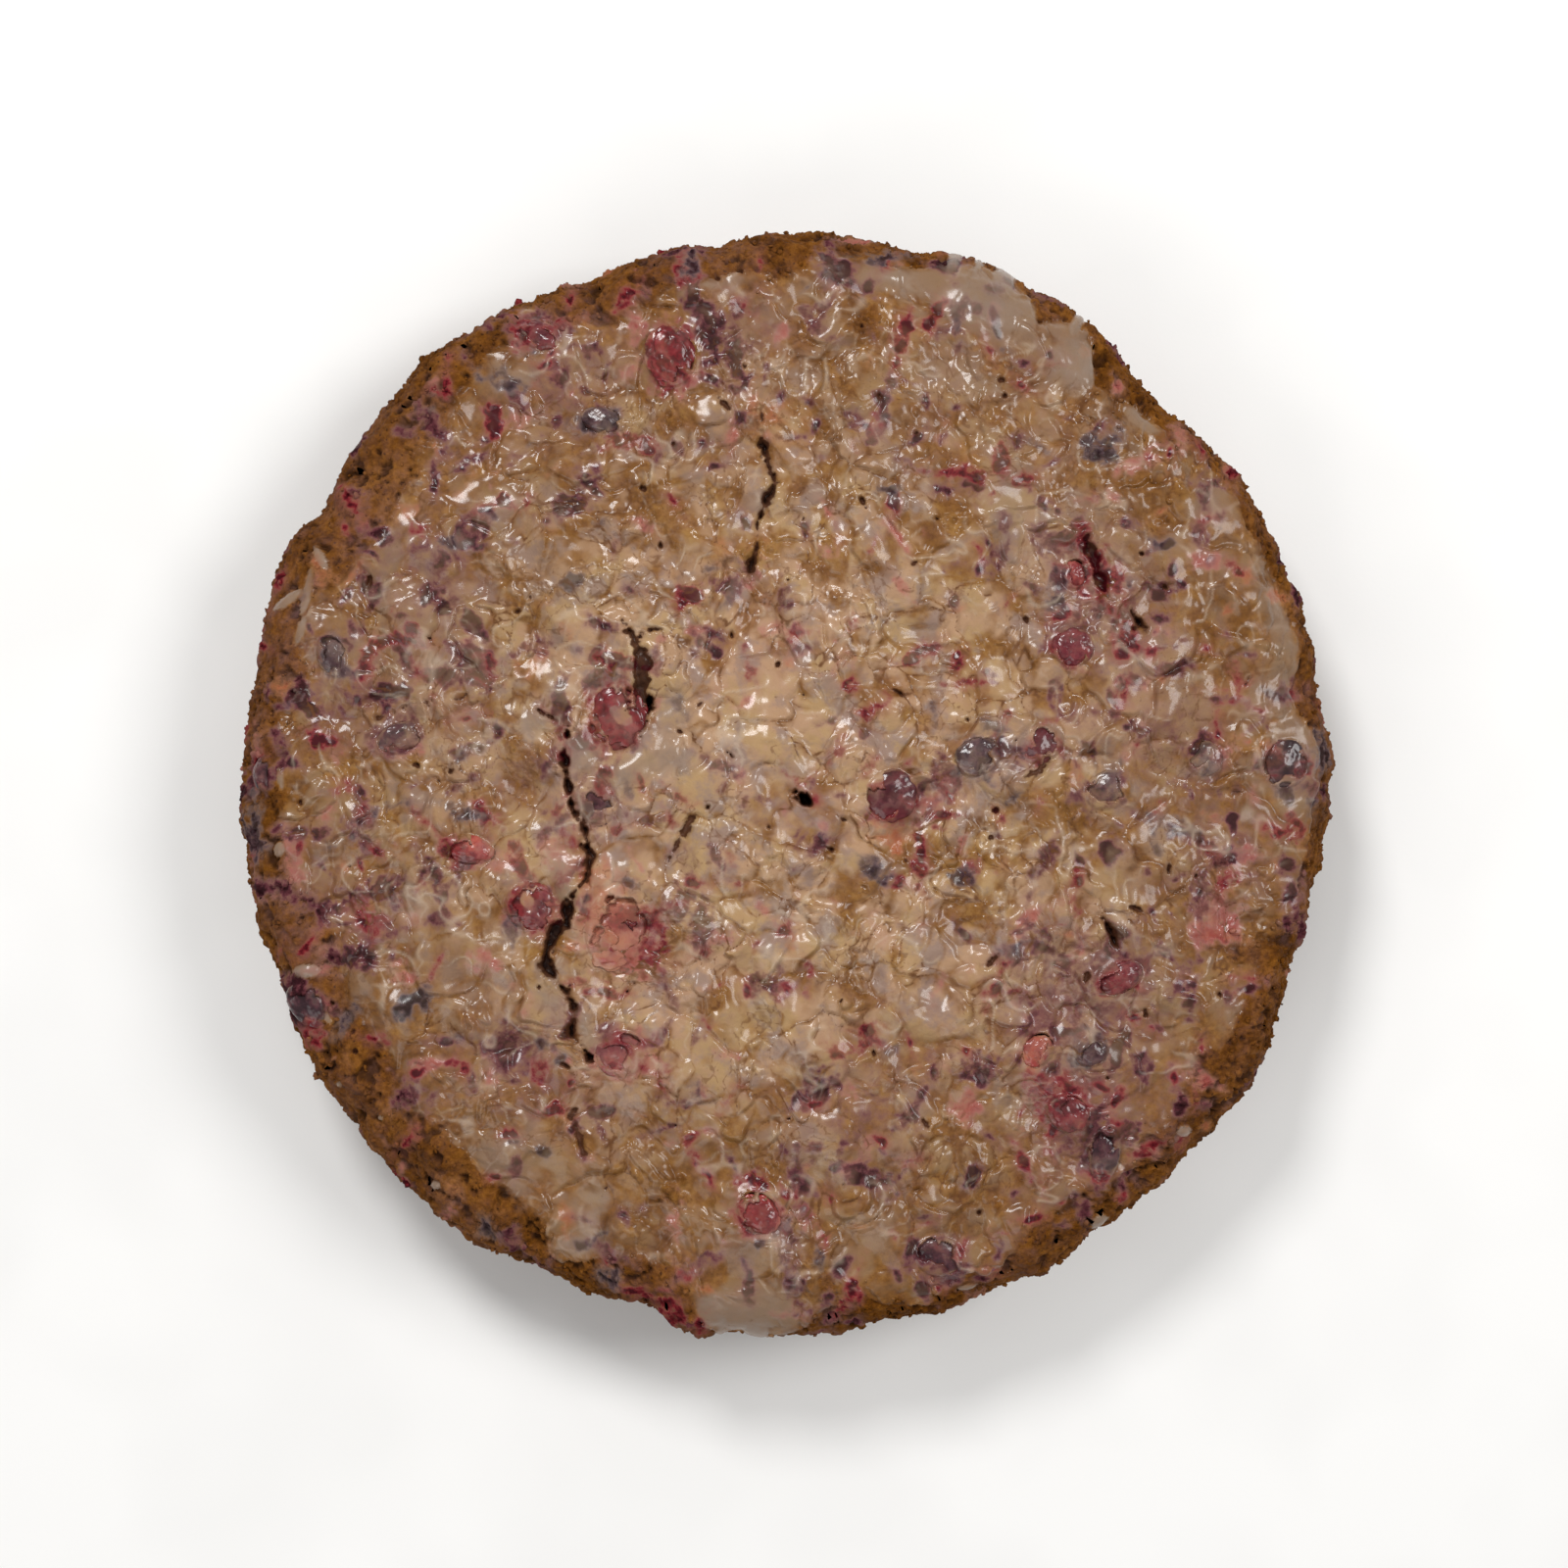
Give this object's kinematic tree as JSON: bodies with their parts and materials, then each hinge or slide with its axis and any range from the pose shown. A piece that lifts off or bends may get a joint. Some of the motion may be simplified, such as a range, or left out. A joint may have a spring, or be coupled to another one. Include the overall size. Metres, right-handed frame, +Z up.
{
  "type": "fruit quick bread",
  "caption": "Round, single-layer quick bread with mixed berries baked in its cracked, bumpy crust under a thin sugar glaze, whole and uncut.",
  "frame": {"origin": "centre of the flat foot, on the floor the bread rests on", "axes": "+Z up out of the domed top; +Y and +X lie in the foot, towards the top and the right edge of the bread seen from above with the deep crack on its left"},
  "size_m": [0.2278, 0.2303, 0.0472],
  "materials": {
    "crust": "browned crust under a thin, wrinkled sugar glaze, half gloss",
    "raspberry": "moist dark red fruit",
    "strawberry": "moist pink-red fruit",
    "cherry": "moist maroon fruit",
    "blueberry": "grey-violet skin under sugar glaze"
  },
  "bodies": {
    "root": {"bread": "crust", "raspberry_1": "raspberry", "raspberry_2": "raspberry", "raspberry_3": "raspberry", "raspberry_4": "raspberry", "raspberry_5": "raspberry", "raspberry_6": "raspberry", "raspberry_7": "raspberry", "raspberry_8": "raspberry", "strawberry_1": "strawberry", "strawberry_2": "strawberry", "strawberry_3": "strawberry", "strawberry_4": "strawberry", "strawberry_5": "strawberry", "cherry_1": "cherry", "cherry_2": "cherry", "blueberry_1": "blueberry", "blueberry_2": "blueberry", "blueberry_3": "blueberry", "blueberry_4": "blueberry", "blueberry_5": "blueberry", "blueberry_6": "blueberry", "blueberry_7": "blueberry", "blueberry_8": "blueberry", "blueberry_9": "blueberry", "blueberry_10": "blueberry", "blueberry_11": "blueberry", "blueberry_12": "blueberry", "blueberry_13": "blueberry"}
  },
  "joints": []
}
